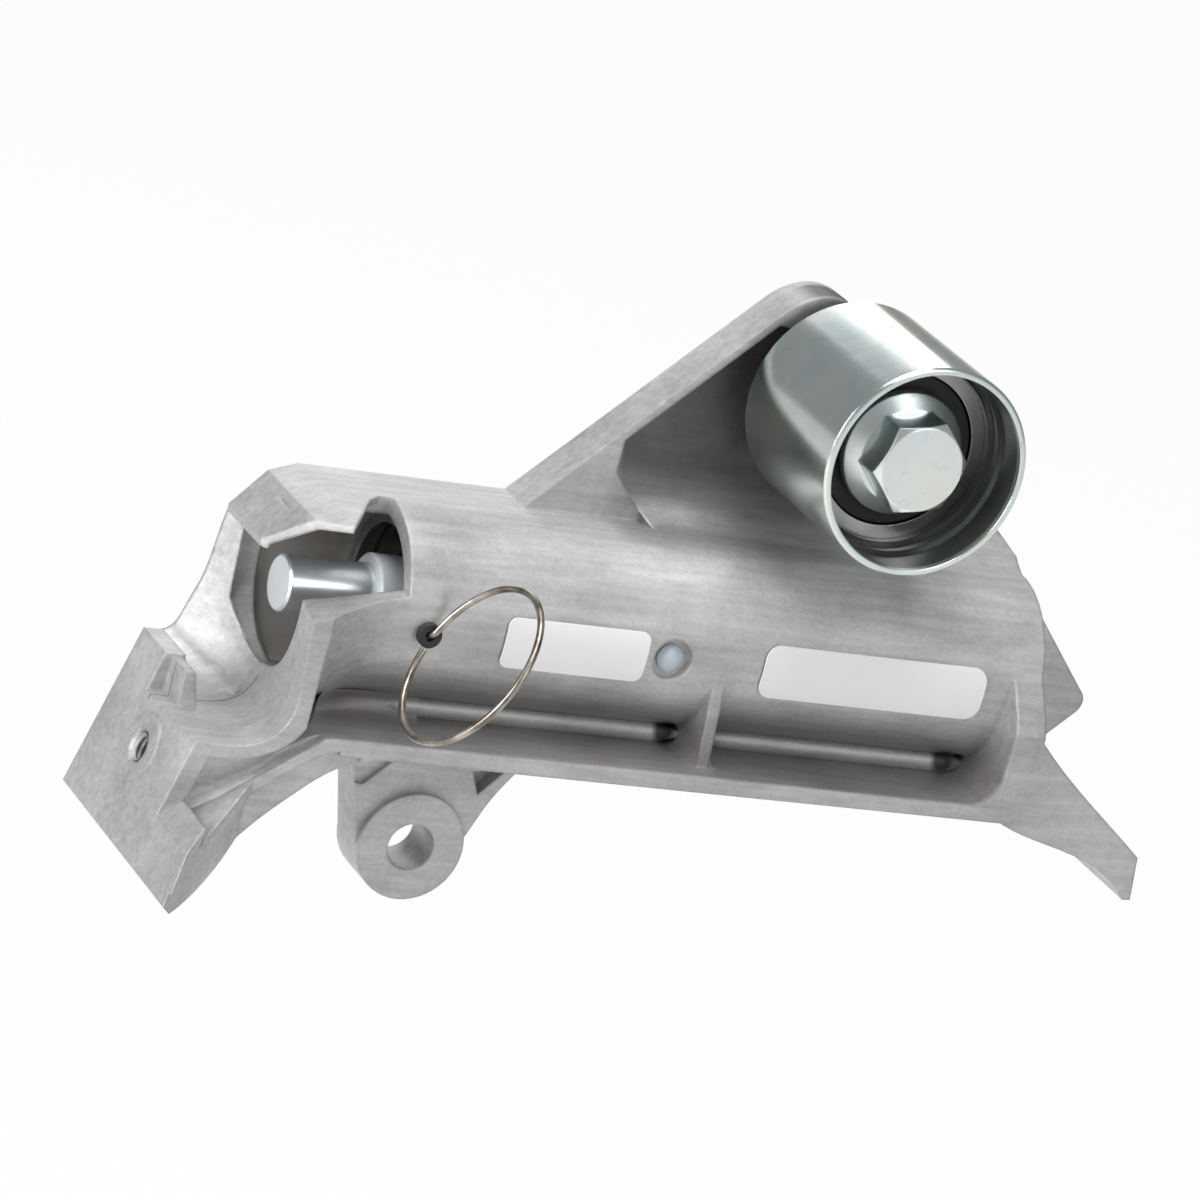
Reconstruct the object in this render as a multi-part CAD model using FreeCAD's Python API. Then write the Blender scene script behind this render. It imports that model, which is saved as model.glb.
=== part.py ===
"""Hydraulic timing belt tensioner: cast housing, sprung plunger with its locking ring pin,
and a small bolted guide roller.

Working frame: X runs along the hydraulic cylinder from its plunger end to its closed end,
+Y points to the engine block and Z points up, with the origin on the cylinder's axis at the
plunger's tip. Every finished piece is then moved so that the origin is the centre of the
lower mounting hole on the face that seats on the engine. All sizes are in millimetres.
"""
import FreeCAD, Part
import math
import os

os.makedirs("parts", exist_ok=True)
Vec = FreeCAD.Vector
X_AXIS = Vec(1, 0, 0)
Y_AXIS = Vec(0, 1, 0)
Z_AXIS = Vec(0, 0, 1)

# Cylinder of the hydraulic unit
tube_r = 17.0
tube_wall = 3.0
bore_r = tube_r - tube_wall
mouth_x = 16.3
mouth_cone_length = 1.9
bore_start_x = -2.5
bore_end_x = 131.0
tube_end_x = 137.5
top_z = tube_r

# Depth levels of the casting, from the viewer's side to the engine's side
front_y = -23.0
web_front_y = 3.5
web_floor_y = 8.0
plate_back_y = 12.0
mount_face_y = 17.5
lug_front_y = 7.5
lug_arm_front_y = 8.7

# Fits and gaps
running_gap = 0.05
seat_gap = 0.3
pin_gap = 0.08

# Lower mounting lug
lug_x = 40.2
lug_z = -47.7
lug_r = 9.8
lug_hole_r = 4.3

# Lower lip of the casting
lip_top_z = -18.0
lip_bottom_z = -20.8
lip_start_x = 8.0

# Guide roller and its bolt
roller_x = 94.6
roller_z = 43.1
roller_r = 18.5
roller_front_y = -32.0
roller_back_y = 1.2
rim_wall = 1.2
shell_wall = 2.4
rim_depth = 7.2
boss_face_y = 2.5
boss_r = 9.5
spacer_thickness = 1.2
bolt_r = 5.0
bolt_hole_r = 5.3
bolt_thread_r = 4.9
bolt_relief_r = 4.3
bolt_relief_length = 1.5
bolt_tip_y = 36.0
bolt_head_flats = 15.0
bolt_flange_r = 10.9
bolt_flange_thickness = 2.4
bolt_head_height = 7.4
flange_front_y = -23.6

# Bearing inside the roller
bearing_front_y = -20.6
bearing_back_y = -1.4
outer_ring_wall = 2.4
inner_ring_r = 8.2
ball_r = 3.0
ball_count = 9
cage_width = 8.0
cage_wall = 1.6
seal_thickness = 1.1

# Plunger and the parts inside the cylinder
rod_r = 4.9
rod_end_x = 44.0
pin_x = 20.6
slot_travel = 8.0
guide_start_x = 15.6
guide_nose_r = 6.7
guide_end_x = 30.0
ring_x = 18.2
ring_thickness = 1.5
ring_width = 1.7
ring_eye_r = 1.5
seal_start_x = 22.0
seal_end_x = 26.0
piston_end_x = 56.0
spring_end_x = 104.0
spring_wire_r = 0.9
spring_side_gap = 0.35
spring_turns = 9
sleeve_end_x = 124.0
sleeve_wall = 2.6
piston_wall = 2.25
guide_flange_gap = 0.5
valve_seat_end_x = 106.6
valve_ball_x = 110.3
valve_ball_r = 3.2
valve_body_end_x = 114.0
valve_cage_end_x = 120.0
valve_cage_wall = 1.0
valve_passage_r = 2.2
valve_chamber_r = 6.0
valve_wire_r = 0.3
valve_spring_r = 2.2

# Locking ring pin
pin_r = 0.6
pin_tip_y = 6.6
pin_bend_r = 1.6
pin_loop_r = 14.9
pin_loop_sweep = 345
pin_lean = 30

# Labels and filling plug
label_gap = 0.3
label_thickness = 0.2
small_label_x = (34.7, 61.2)
small_label_half_angle = 15
small_label_corner_r = 1.6
blank_label_x = (83.4, 126.4)
blank_label_half_angle = 16
blank_label_corner_r = 2.6
plug_x = 66.3
plug_r = 2.4
plug_drop = 0.5


def straight_or_curved(points):
    """An edge through the points: a line through two, a smooth curve through more."""
    if len(points) == 2:
        return Part.makeLine(points[0], points[1])
    curve = Part.BSplineCurve()
    curve.interpolate(points)
    return curve.toShape()


def outline(runs, place):
    """A closed wire of runs of points that share their ends; place sets each point in space."""
    edges = []
    for run in runs:
        edges.append(straight_or_curved([place(a, b) for a, b in run]))
    return Part.Wire(edges)


def side_prism(runs, y_low, y_high):
    """Solid with an outline in the XZ plane, from y_low to y_high."""
    face = Part.Face(outline(runs, lambda x, z: Vec(x, y_low, z)))
    return face.extrude(Vec(0, y_high - y_low, 0))


def plan_prism(points, z_low, z_high):
    """Solid with a straight-sided outline in the XY plane, from z_low to z_high."""
    face = Part.Face(outline(closed(points), lambda x, y: Vec(x, y, z_low)))
    return face.extrude(Vec(0, 0, z_high - z_low))


def end_prism(runs, x_low, x_high):
    """Solid with an outline in the YZ plane, from x_low to x_high."""
    face = Part.Face(outline(runs, lambda y, z: Vec(x_low, y, z)))
    return face.extrude(Vec(x_high - x_low, 0, 0))


def closed(points):
    """The straight runs of a polygon through the points."""
    return [[points[i], points[(i + 1) % len(points)]] for i in range(len(points))]


def box(x_low, x_high, y_low, y_high, z_low, z_high):
    """Box between pairs of coordinates."""
    corner = Vec(x_low, y_low, z_low)
    return Part.makeBox(x_high - x_low, y_high - y_low, z_high - z_low, corner)


def rod_x(radius, x_low, x_high):
    """Round bar on the cylinder's axis."""
    return Part.makeCylinder(radius, x_high - x_low, Vec(x_low, 0, 0), X_AXIS)


def rod_y(radius, y_low, y_high, x, z):
    """Round bar along Y."""
    return Part.makeCylinder(radius, y_high - y_low, Vec(x, y_low, z), Y_AXIS)


def turned_on_x(points):
    """Solid turned about the cylinder's axis from (x, radius) points."""
    face = Part.Face(outline(closed(points), lambda x, r: Vec(x, 0, r)))
    return face.revolve(Vec(0, 0, 0), X_AXIS, 360)


def turned_on_roller(points):
    """Solid turned about the roller's axis from (y, radius) points."""
    face = Part.Face(outline(closed(points), lambda y, r: Vec(roller_x + r, y, roller_z)))
    return face.revolve(Vec(roller_x, 0, roller_z), Y_AXIS, 360)


# Outline of the thin back plate: cylinder top, web with its rounded apex, tail corner
apex_left = (80.9, 57.4)
apex_top = (88.4, 60.6)
apex_right = (95.9, 57.7)
web_left = (42.0, top_z)
web_right = (135.6, 21.0)
plate_corner = (160.9, -5.8)
plate_corner_tip = (162.1, -7.7)
plate_corner_low = (161.5, -9.9)
plate_low = (151.0, -20.8)
roof_left = (3.5, top_z)

# Face of the left pad, from its upper to its lower back corner, in X and Z
pad_top = (-16.2, -14.8)
pad_bottom = (-23.7, -43.3)
pad_step = 4.25
pad_step_y = 0.7
ridge_end_y = -6.0
ridge_setback = 1.4
pad_wall = 3.6
thread_r = 2.5
thread_depth = 10.0
thread_drop = 14.5
thread_y = -6.7
thread_boss_r = 5.0

# Cross rib, end wall and the cored hollows beside them
rib_x = 75.3
rib_width = 2.2
end_wall_x = 131.8
core_r = 2.1

# Curves of the lip that joins the pad to the straight lower lip
lip_outer = [(-21.5, -45.2), (-14.6, -43.4), (-7.8, -39.0), (-3.2, -33.8), (1.5, -29.1), (6.4, -24.8),
             (12.0, -21.8), (20.0, lip_bottom_z)]
lip_inner_left = [(-22.4, -35.3), (-17.8, -31.5), (-11.0, -27.6)]
lip_inner = [lip_inner_left[2], (-4.5, -23.6), (1.2, -19.8), (4.4, -18.4), (lip_start_x, lip_top_z)]
lip_line = [(-25.0, -42.4), (-16.9, -37.2), (-8.8, -31.6), (-2.3, -26.0), (5.7, -20.6)]
lip_step = 1.0
lip_front_start = (-6.0, front_y)
lip_front_end = (-23.8, -41.0)


def pad_point(drop):
    """Point of the pad's face at a distance down from its top edge."""
    run_x = pad_bottom[0] - pad_top[0]
    run_z = pad_bottom[1] - pad_top[1]
    length = math.hypot(run_x, run_z)
    return (pad_top[0] + run_x * drop / length, pad_top[1] + run_z * drop / length)


def pad_normal():
    """Outward direction of the pad's face."""
    run_x = pad_bottom[0] - pad_top[0]
    run_z = pad_bottom[1] - pad_top[1]
    length = math.hypot(run_x, run_z)
    return Vec(run_z / length, 0, -run_x / length)


def back_plate():
    """Plate behind the cylinder with the web that rises to the roller."""
    apex = [apex_left, apex_top, apex_right]
    edge = [[roof_left, web_left], [web_left, apex_left], apex, [apex_right, web_right]]
    edge += [[web_right, plate_corner], [plate_corner, plate_corner_tip, plate_corner_low]]
    edge += [[plate_corner_low, plate_low], [plate_low, (roof_left[0], lip_bottom_z)]]
    edge += [[(roof_left[0], lip_bottom_z), roof_left]]
    return edge


def web():
    """Web with a rim along its rising edge, an open pocket and a swept root on the cylinder."""
    whole = side_prism(back_plate(), web_front_y, plate_back_y)
    rim = 1.4
    step = rim * math.sqrt(2)
    pocket_left = [(65.7, 14.0), (65.7, 16.3), (57.4, 24.9)]
    slope = (apex_left[1] - web_left[1]) / (apex_left[0] - web_left[0])
    rim_start = (57.3, web_left[1] + slope * (57.3 - web_left[0]) - step)
    rim_end = (80.0, web_left[1] + slope * (80.0 - web_left[0]) - step)
    beyond = [(88.0, 54.0), (98.0, 70.0), (175.0, 70.0), (175.0, -30.0), (tube_end_x, -30.0), (tube_end_x, 14.0)]
    pocket = side_prism(closed(pocket_left + [rim_start, rim_end] + beyond), web_front_y - 1, web_floor_y)
    whole = whole.cut(pocket)
    root_r = 13.0
    centre = (-5.0, 29.0)
    middle = (centre[0] + root_r * math.cos(math.radians(-45)), centre[1] + root_r * math.sin(math.radians(-45)))
    arc = [(centre[0], centre[1] - root_r), middle, (centre[0] + root_r, centre[1])]
    inside = [(web_floor_y + 2, centre[1]), (web_floor_y + 2, 0.0), (centre[0], 0.0)]
    runs = [arc, [arc[-1], inside[0]], [inside[0], inside[1]], [inside[1], inside[2]], [inside[2], arc[0]]]
    root = end_prism(runs, pocket_left[2][0], tube_end_x)
    keep = side_prism(back_plate(), centre[0] - 1, plate_back_y)
    left_trim = side_prism(closed([(40.0, 40.0), (40.0, 13.0), pocket_left[0], pocket_left[1], pocket_left[2], (57.0, 40.0)]),
                           centre[0] - 2, web_front_y)
    return whole.fuse(root.common(keep).cut(left_trim))


def trumpet():
    """Outside of the bell mouth's front wall: flares from the cylinder to the front level."""
    start_x = 0.9
    flare_r = 23.0
    reach = mouth_x + 1.0 - start_x
    bend_r = reach * reach / (2 * (flare_r - tube_r))
    curve = []
    for i in range(5):
        x = start_x + reach * i / 4
        curve.append((x, tube_r + (mouth_x + 1.0 - x) ** 2 / (2 * bend_r)))
    runs = [curve, [curve[-1], (curve[-1][0], 8.0)], [(curve[-1][0], 8.0), (-2.9, 8.0)]]
    runs += [[(-2.9, 8.0), (-2.9, flare_r)], [(-2.9, flare_r), curve[0]]]
    face = Part.Face(outline(runs, lambda x, r: Vec(x, 0, r)))
    flare = face.revolve(Vec(0, 0, 0), X_AXIS, 360)
    return flare.common(box(-4.0, mouth_x + 2, front_y, -4.0, -16.0, 7.4))


def left_body():
    """Roof over the plunger, the back of the bell mouth, and the wall in front of it."""
    roof_skin = 1.2
    facet = [(-6.8, 7.4), (-6.8, 8.6), (-1.4, 15.2), roof_left, (mouth_x + 1, top_z), (mouth_x + 1, 7.4)]
    roof = side_prism(closed(facet), -18, plate_back_y)
    # The roof is a thin shell in front, hollow down to the level of the bell mouth's ceiling
    under = [(-6.0, 6.4), (-5.6, 8.4), (-0.7, 15.2 - roof_skin), (roof_left[0], top_z - roof_skin)]
    under += [(mouth_x - 1, top_z - roof_skin), (mouth_x - 1, 6.4)]
    roof = roof.cut(side_prism(closed(under), -19, 7.0))
    plan = [(-7.5, 13.0), (-7.5, -3.2), (3.1, -16.8), (7.5, -9.2), (11.1, -2.7), (15.2, 1.3), (19.0, 2.5), (19.0, 13.0)]
    roof = roof.common(plan_prism(plan, 0, top_z + 1))
    back = box(-12, mouth_x + 1, 0, tube_r, -17.0, 7.4)
    back_foot = box(-12, roof_left[0], 0, tube_r, -22.0, -16.0)
    barrel = rod_x(tube_r, -4.0, mouth_x + 2)
    front_wall = box(-4.0, 0.9, front_y, 0, -22.0, 7.4)
    body = back.fuse([back_foot, barrel, front_wall, trumpet()])
    # The wall is open above a line that climbs from the bell mouth to the cylinder's mouth
    opening = [(-13.0, 0.0), (-2.9, 2.0), (mouth_x, 5.6), (mouth_x, 20.0), (-13.0, 20.0)]
    body = body.cut(side_prism(closed(opening), front_y - 1, 3.0))
    upper = box(-13, mouth_x, 3.0, tube_r + 1, 7.4, 20)
    body = body.cut(upper)
    return body.fuse(roof)


def lower_arm():
    """Lower body: the pad at its left end and the curved lip under it, hollowed from the front."""
    top = [pad_top, (lip_outer[-1][0], pad_top[1])]
    runs = [lip_outer, [lip_outer[-1], top[1]], [top[1], pad_top], [pad_top, pad_bottom], [pad_bottom, lip_outer[0]]]
    arm = side_prism(runs, lip_front_end[1] - 1, plate_back_y)
    slope = (lip_front_end[1] - lip_front_start[1]) / (lip_front_end[0] - lip_front_start[0])
    far_x = 20.0
    left_x = -30.0
    left_y = lip_front_start[1] + slope * (left_x - lip_front_start[0])
    edge = [(left_x, left_y), lip_front_start, (far_x, front_y)]
    arm = arm.cut(plan_prism(edge + [(far_x, -60), (left_x, -60)], -60, 0))
    # The outer half of the lip's front stands a little further back
    band = [lip_line, [lip_line[-1], (12.0, -19.0)], [(12.0, -19.0), (12.0, -60.0)]]
    band += [[(12.0, -60.0), (-25.0, -60.0)], [(-25.0, -60.0), lip_line[0]]]
    edge_back = [(x, y + lip_step) for x, y in edge]
    step_cut = side_prism(band, -60, front_y + lip_step).common(plan_prism(edge_back + [(far_x, -60), (left_x, -60)], -61, 0))
    arm = arm.cut(step_cut)
    # Above the lip the pad and the bell mouth end at the front level
    left_top = (-30.0, lip_inner_left[0][1] + 1.6)
    above = [lip_inner_left, lip_inner, [lip_inner[-1], (20.0, lip_top_z)], [(20.0, lip_top_z), (20.0, 5.0)]]
    above += [[(20.0, 5.0), (left_top[0], 5.0)], [(left_top[0], 5.0), left_top], [left_top, lip_inner_left[0]]]
    arm = arm.cut(side_prism(above, -60, front_y))
    step_low = pad_point(pad_step)
    step = [(pad_top[0] - 4, step_low[1]), step_low, (-8.0, step_low[1]), (-8.0, -10.0), (pad_top[0] - 4, -10.0)]
    return arm.cut(side_prism(closed(step), -60, pad_step_y))


def lower_pocket():
    """Hollow between the bell mouth's floor and the lip, open to the front."""
    pad_high = pad_point(8.8)
    pad_low = pad_point(16.6)
    roof = [(pad_high[0] + pad_wall, pad_high[1]), (-9.0, -22.9), (-3.4, -21.0), (0.9, -16.6)]
    corner = (0.9, -14.0)
    right = (16.0, corner[1])
    right_low = (right[0], lip_top_z)
    floor = list(reversed(lip_inner))
    left_end = (pad_low[0] + pad_wall, pad_low[1])
    runs = [roof, [roof[-1], corner], [corner, right], [right, right_low], [right_low, floor[0]]]
    runs += [floor, [floor[-1], left_end], [left_end, roof[0]]]
    return side_prism(runs, -60, 4.0)


def bell_mouth():
    """Concave hollow at the left in which the plunger's end works."""
    ceiling = 7.4
    back_y = 17.6
    back = [(-4.6, ceiling), (-5.4, 2.0), (-6.6, -6.8), (-8.0, -11.0), (-10.2, -15.8), (-13.0, -16.4), (-19.0, -16.0)]
    middle = [(0.5, ceiling), (0.5, 2.0), (0.6, -8.0), (0.5, -15.0), (-2.0, -20.0), (-8.0, -21.8), (-19.0, -21.6)]
    front = [(-3.0, ceiling), (-3.0, 2.0), (-2.4, -8.0), (-2.6, -15.0), (-5.2, -18.8), (-10.0, -20.6), (-19.0, -20.6)]
    sections = [(front_y - 3, front)]
    for i in range(7):
        y = back_y * i / 6
        share = (i / 6) ** 2
        wall = [(m[0] + (b[0] - m[0]) * share, m[1] + (b[1] - m[1]) * share) for m, b in zip(middle, back)]
        sections.append((y, wall))
    wires = []
    for y, wall in sections:
        far = (-40.0, wall[-1][1])
        top = (-40.0, ceiling)
        runs = [wall, [wall[-1], far], [far, top], [top, wall[0]]]
        wires.append(outline(runs, lambda x, z, y=y: Vec(x, y, z)))
    return Part.makeLoft(wires, True, True)


def pad_details():
    """Ridge on the pad's upper back edge and the boss for its screw thread."""
    ridge = [pad_top, (pad_top[0] + 3.6, pad_top[1]), (pad_top[0] + 5.0, -22.5), pad_point(8.0)]
    body = side_prism(closed(ridge), pad_step_y, plate_back_y)
    left = pad_top[0] + ridge_setback
    tip = [(left, -15.3), (left + 1.8, -15.3), (left + 3.6, -22.5), (left, -22.5)]
    body = body.fuse(side_prism(closed(tip), ridge_end_y, pad_step_y))
    x, z = pad_point(thread_drop)
    inward = pad_normal().multiply(-1)
    boss = Part.makeCylinder(thread_boss_r, thread_depth - 1, Vec(x, thread_y, z), inward)
    land = Part.makeCylinder(thread_boss_r + 1, 1, Vec(x, thread_y, z) - inward * 0.3, inward)
    return body.fuse([boss, land])


def thread_hole():
    """Blind hole of the pad's screw thread with a small lead-in."""
    x, z = pad_point(thread_drop)
    outward = pad_normal()
    mouth = Vec(x, thread_y, z) + outward * 0.3
    hole = Part.makeCylinder(thread_r, thread_depth, mouth, outward * -1)
    lead = Part.makeCone(thread_r + 0.6, thread_r, 0.6, mouth, outward * -1)
    return hole.fuse(lead)


def lower_lip():
    """Straight lip, its ties to the cylinder, the cross rib, the end wall and the tail."""
    shelf = box(lip_start_x, tube_end_x, front_y, plate_back_y, lip_bottom_z, lip_top_z)
    tie = box(roof_left[0], tube_end_x, -4.0, plate_back_y, lip_top_z - 1, 0)
    root = end_prism(
        [[(-11.5, lip_top_z), (-3.0, lip_top_z)], [(-3.0, lip_top_z), (-3.0, -14.0)],
         [(-3.0, -14.0), (-6.2, -15.6)], [(-6.2, -15.6), (-8.0, -17.0), (-11.5, lip_top_z)]],
        lip_start_x, tube_end_x)
    rib = end_prism(closed([(-16.4, -2.0), (-18.6, lip_top_z), (0, lip_top_z), (0, -2.0)]), rib_x, rib_x + rib_width)
    end_wall = end_prism(
        closed([(front_y, lip_bottom_z), (front_y, -4.6), (front_y + 1.2, -2.0), (-16.4, 4.2), (0, 4.2),
                (plate_back_y, lip_bottom_z)]),
        end_wall_x, tube_end_x)
    tail_top = [(tube_end_x - 1.5, -3.9), (tube_end_x + 0.4, -5.75), (150.0, -15.5), (162.6, -24.6)]
    tail_low = [(163.6, -32.6), (162.0, -32.7), (152.2, -26.2), (142.5, -23.6), (tube_end_x - 4, lip_bottom_z)]
    tail_runs = [tail_top, [tail_top[-1], tail_low[0]], [tail_low[0], tail_low[1]], tail_low[1:], [tail_low[-1], tail_top[0]]]
    tail = side_prism(tail_runs, front_y, front_y + 10)
    shifted = [(x - 1.2, z + 2.8) for x, z in tail_low[1:]]
    foot_runs = [tail_low[1:], [tail_low[-1], shifted[-1]], list(reversed(shifted)), [shifted[0], tail_low[1]]]
    foot = side_prism(foot_runs, front_y, plate_back_y)
    return shelf.fuse([tie, root, rib, end_wall, tail, foot])


def lug():
    """Mounting lug under the lip, seated on the engine by its back face."""
    left = [(22.0, lip_top_z - 1), (26.4, -33.0), (28.4, -40.5), (30.5, lug_z - 1.0)]
    right = [(49.9, lug_z + 1.5), (51.0, -43.6), (52.6, -39.6), (56.8, -32.6), (68.0, lip_top_z - 1)]
    runs = [left, [left[-1], right[0]], right, [right[-1], left[0]]]
    arm = side_prism(runs, lug_arm_front_y, mount_face_y)
    boss = rod_y(lug_r, lug_front_y, mount_face_y, lug_x, lug_z)
    whole = arm.fuse(boss)
    recess = side_prism(closed([(48.6, -33.2), (55.0, -32.2), (50.6, -37.4)]), lug_front_y - 1, lug_arm_front_y + 3)
    ledge = side_prism(closed([(22.0, -20.0), (33.6, -32.5), (29.0, -37.5), (20.0, -37.5)]), lug_front_y - 1,
                       lug_arm_front_y + 0.8)
    whole = whole.cut(recess)
    return whole.cut(ledge)


def cored_spots():
    """Small deep hollows left by the casting's core pins beside the rib and the end wall."""
    spots = []
    for x in (rib_x - core_r, end_wall_x - core_r):
        spots.append(rod_y(core_r, -14, 6, x, -15.8))
    return spots


def housing():
    """The cast housing in one piece."""
    cone_r = bore_r + 0.2
    body = rod_x(tube_r, mouth_x + mouth_cone_length, tube_end_x)
    body = body.fuse(Part.makeCone(cone_r, tube_r, mouth_cone_length, Vec(mouth_x, 0, 0), X_AXIS))
    strip = box(roof_left[0], tube_end_x, 0, plate_back_y, lip_top_z, top_z)
    body = body.fuse([strip, web(), left_body(), lower_lip(), lug()])
    body = body.fuse(lower_arm())
    body = body.fuse(rod_y(boss_r, boss_face_y, mount_face_y, roller_x, roller_z))
    body = body.cut(bell_mouth())
    body = body.cut(lower_pocket())
    body = body.fuse(pad_details())
    body = body.cut(rod_x(bore_r, bore_start_x, bore_end_x))
    for hollow in cored_spots():
        body = body.cut(hollow)
    body = body.cut(thread_hole())
    body = body.cut(rod_y(lug_hole_r, lug_front_y - 1, mount_face_y + 1, lug_x, lug_z))
    body = body.cut(rod_y(bolt_hole_r, boss_face_y - 1, mount_face_y + 1, roller_x, roller_z))
    body = body.cut(rod_y(pin_r + pin_gap, -tube_r - 8, 0, pin_x, 0))
    body = body.cut(rod_y(plug_r + 1.2, -tube_r - 1, -tube_r + 1.8, plug_x, 0))
    return body.cut(rod_y(plug_r - 0.6, -tube_r - 1, -bore_r + 1, plug_x, 0))


def roller_shell():
    """Drum that the belt runs on, with a deep open front."""
    inner = roller_r - shell_wall
    points = [
        (roller_front_y, roller_r - rim_wall), (roller_front_y, roller_r - 0.4), (roller_front_y + 0.4, roller_r),
        (roller_back_y - 0.5, roller_r), (roller_back_y, roller_r - 0.5), (roller_back_y, inner - 1.2),
        (bearing_back_y, inner - 1.2), (bearing_back_y, inner), (bearing_front_y - 1.6, inner),
        (bearing_front_y - 2.4, inner + 0.6), (roller_front_y + rim_depth, inner + 0.6),
        (roller_front_y + rim_depth - 0.8, roller_r - rim_wall),
    ]
    return turned_on_roller(points)


def bearing_outer_ring():
    """Outer ring with the balls' groove."""
    outer = roller_r - shell_wall
    inner = outer - outer_ring_wall
    ring = turned_on_roller([
        (bearing_front_y, inner), (bearing_front_y, outer), (bearing_back_y, outer), (bearing_back_y, inner)])
    return ring.cut(ball_groove())


def bearing_inner_ring():
    """Inner ring clamped by the bolt, longer than the outer one at the engine's side."""
    ring = turned_on_roller([
        (flange_front_y + bolt_flange_thickness, bolt_hole_r), (flange_front_y + bolt_flange_thickness, inner_ring_r),
        (boss_face_y - spacer_thickness, inner_ring_r), (boss_face_y - spacer_thickness, bolt_hole_r)])
    return ring.cut(ball_groove())


def ball_pitch_r():
    """Radius of the circle through the balls' centres."""
    return (inner_ring_r + roller_r - shell_wall - outer_ring_wall) / 2


def ball_groove():
    """Ring-shaped space of the balls' track."""
    middle = (bearing_front_y + bearing_back_y) / 2
    return Part.makeTorus(ball_pitch_r(), ball_r + running_gap, Vec(roller_x, middle, roller_z), Y_AXIS)


def ball_places():
    """Centres of the balls."""
    middle = (bearing_front_y + bearing_back_y) / 2
    places = []
    for i in range(ball_count):
        turn = 2 * math.pi * i / ball_count
        x = roller_x + ball_pitch_r() * math.cos(turn)
        z = roller_z + ball_pitch_r() * math.sin(turn)
        places.append(Vec(x, middle, z))
    return places


def bearing_balls():
    """Balls of the bearing."""
    return Part.makeCompound([Part.makeSphere(ball_r, place) for place in ball_places()])


def bearing_cage():
    """Cage between the two rings with a round pocket for each ball."""
    middle = (bearing_front_y + bearing_back_y) / 2
    low = ball_pitch_r() - cage_wall / 2
    high = ball_pitch_r() + cage_wall / 2
    cage = turned_on_roller([
        (middle - cage_width / 2, low), (middle - cage_width / 2, high),
        (middle + cage_width / 2, high), (middle + cage_width / 2, low)])
    axis_point = Vec(roller_x, middle, roller_z)
    for place in ball_places():
        cage = cage.cut(Part.makeCylinder(ball_r + running_gap, high + 1, axis_point, place - axis_point))
    return cage


def bearing_seal(y_low):
    """Rubber seal ring that turns with the outer ring."""
    outer = roller_r - shell_wall - outer_ring_wall - seat_gap
    inner = inner_ring_r + seat_gap
    return turned_on_roller([(y_low, inner), (y_low, outer), (y_low + seal_thickness, outer),
                             (y_low + seal_thickness, inner)])


def roller_spacer():
    """Washer between the bearing's inner ring and the housing."""
    return turned_on_roller([
        (boss_face_y - spacer_thickness, bolt_hole_r), (boss_face_y - spacer_thickness, boss_r),
        (boss_face_y, boss_r), (boss_face_y, bolt_hole_r)])


def roller_bolt():
    """Hexagon flange bolt that clamps the roller and screws into the engine block."""
    head_front_y = flange_front_y - bolt_head_height + 0.5
    corner_r = bolt_head_flats / math.sqrt(3)
    corners = []
    for i in range(6):
        turn = math.radians(60 * i + 12)
        corners.append(Vec(roller_x + corner_r * math.cos(turn), head_front_y, roller_z + corner_r * math.sin(turn)))
    corners.append(corners[0])
    hexagon = Part.Face(Part.makePolygon(corners)).extrude(Vec(0, bolt_head_height, 0))
    chamfer = turned_on_roller([
        (head_front_y, 0), (head_front_y, bolt_head_flats / 2 - 0.2), (head_front_y + 1.2, corner_r + 0.3),
        (head_front_y + bolt_head_height, corner_r + 0.3), (head_front_y + bolt_head_height, 0)])
    head = hexagon.common(chamfer)
    flange = turned_on_roller([
        (flange_front_y - 0.5, 0), (flange_front_y - 0.5, bolt_flange_r - 2.6), (flange_front_y + 0.9, bolt_flange_r - 0.1),
        (flange_front_y + 1.4, bolt_flange_r), (flange_front_y + bolt_flange_thickness, bolt_flange_r),
        (flange_front_y + bolt_flange_thickness, 0)])
    shank = turned_on_roller([
        (flange_front_y + 1, 0), (flange_front_y + 1, bolt_r), (mount_face_y, bolt_r),
        (mount_face_y, bolt_relief_r), (mount_face_y + bolt_relief_length, bolt_relief_r),
        (mount_face_y + bolt_relief_length, bolt_thread_r), (bolt_tip_y - 1, bolt_thread_r),
        (bolt_tip_y, bolt_thread_r - 1), (bolt_tip_y, 0)])
    return head.fuse([flange, shank]).removeSplitter()


def sleeve_bore_r():
    """Inner radius of the steel sleeve."""
    return bore_r - seat_gap - sleeve_wall


def spring_mean_r():
    """Mean radius of the main spring, which stands inside the piston's skirt."""
    return sleeve_bore_r() - running_gap - piston_wall - spring_side_gap - spring_wire_r


def plunger_rod():
    """Ground rod with a short cross slot for the locking pin."""
    rod = turned_on_x([
        (0, 0), (0, rod_r - 0.4), (0.4, rod_r), (rod_end_x, rod_r), (rod_end_x, 0)])
    half = pin_r + pin_gap + 0.1
    slot_end = pin_x + slot_travel
    slot = box(pin_x, slot_end, -rod_r - 1, rod_r + 1, -half, half)
    ends = [rod_y(half, -rod_r - 1, rod_r + 1, x, 0) for x in (pin_x, slot_end)]
    return rod.cut(slot.fuse(ends))


def rod_guide():
    """Guide bush of the rod with a nose that shows at the cylinder's mouth."""
    bore = rod_r + running_gap
    guide_r = sleeve_bore_r() - guide_flange_gap
    guide = turned_on_x([
        (guide_start_x, bore), (guide_start_x, guide_nose_r - 0.5), (guide_start_x + 0.5, guide_nose_r),
        (seal_end_x, guide_nose_r), (seal_end_x, guide_r), (guide_end_x, guide_r), (guide_end_x, bore)])
    return guide.cut(rod_y(pin_r + pin_gap, -guide_nose_r - 1, guide_nose_r + 1, pin_x, 0))


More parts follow.
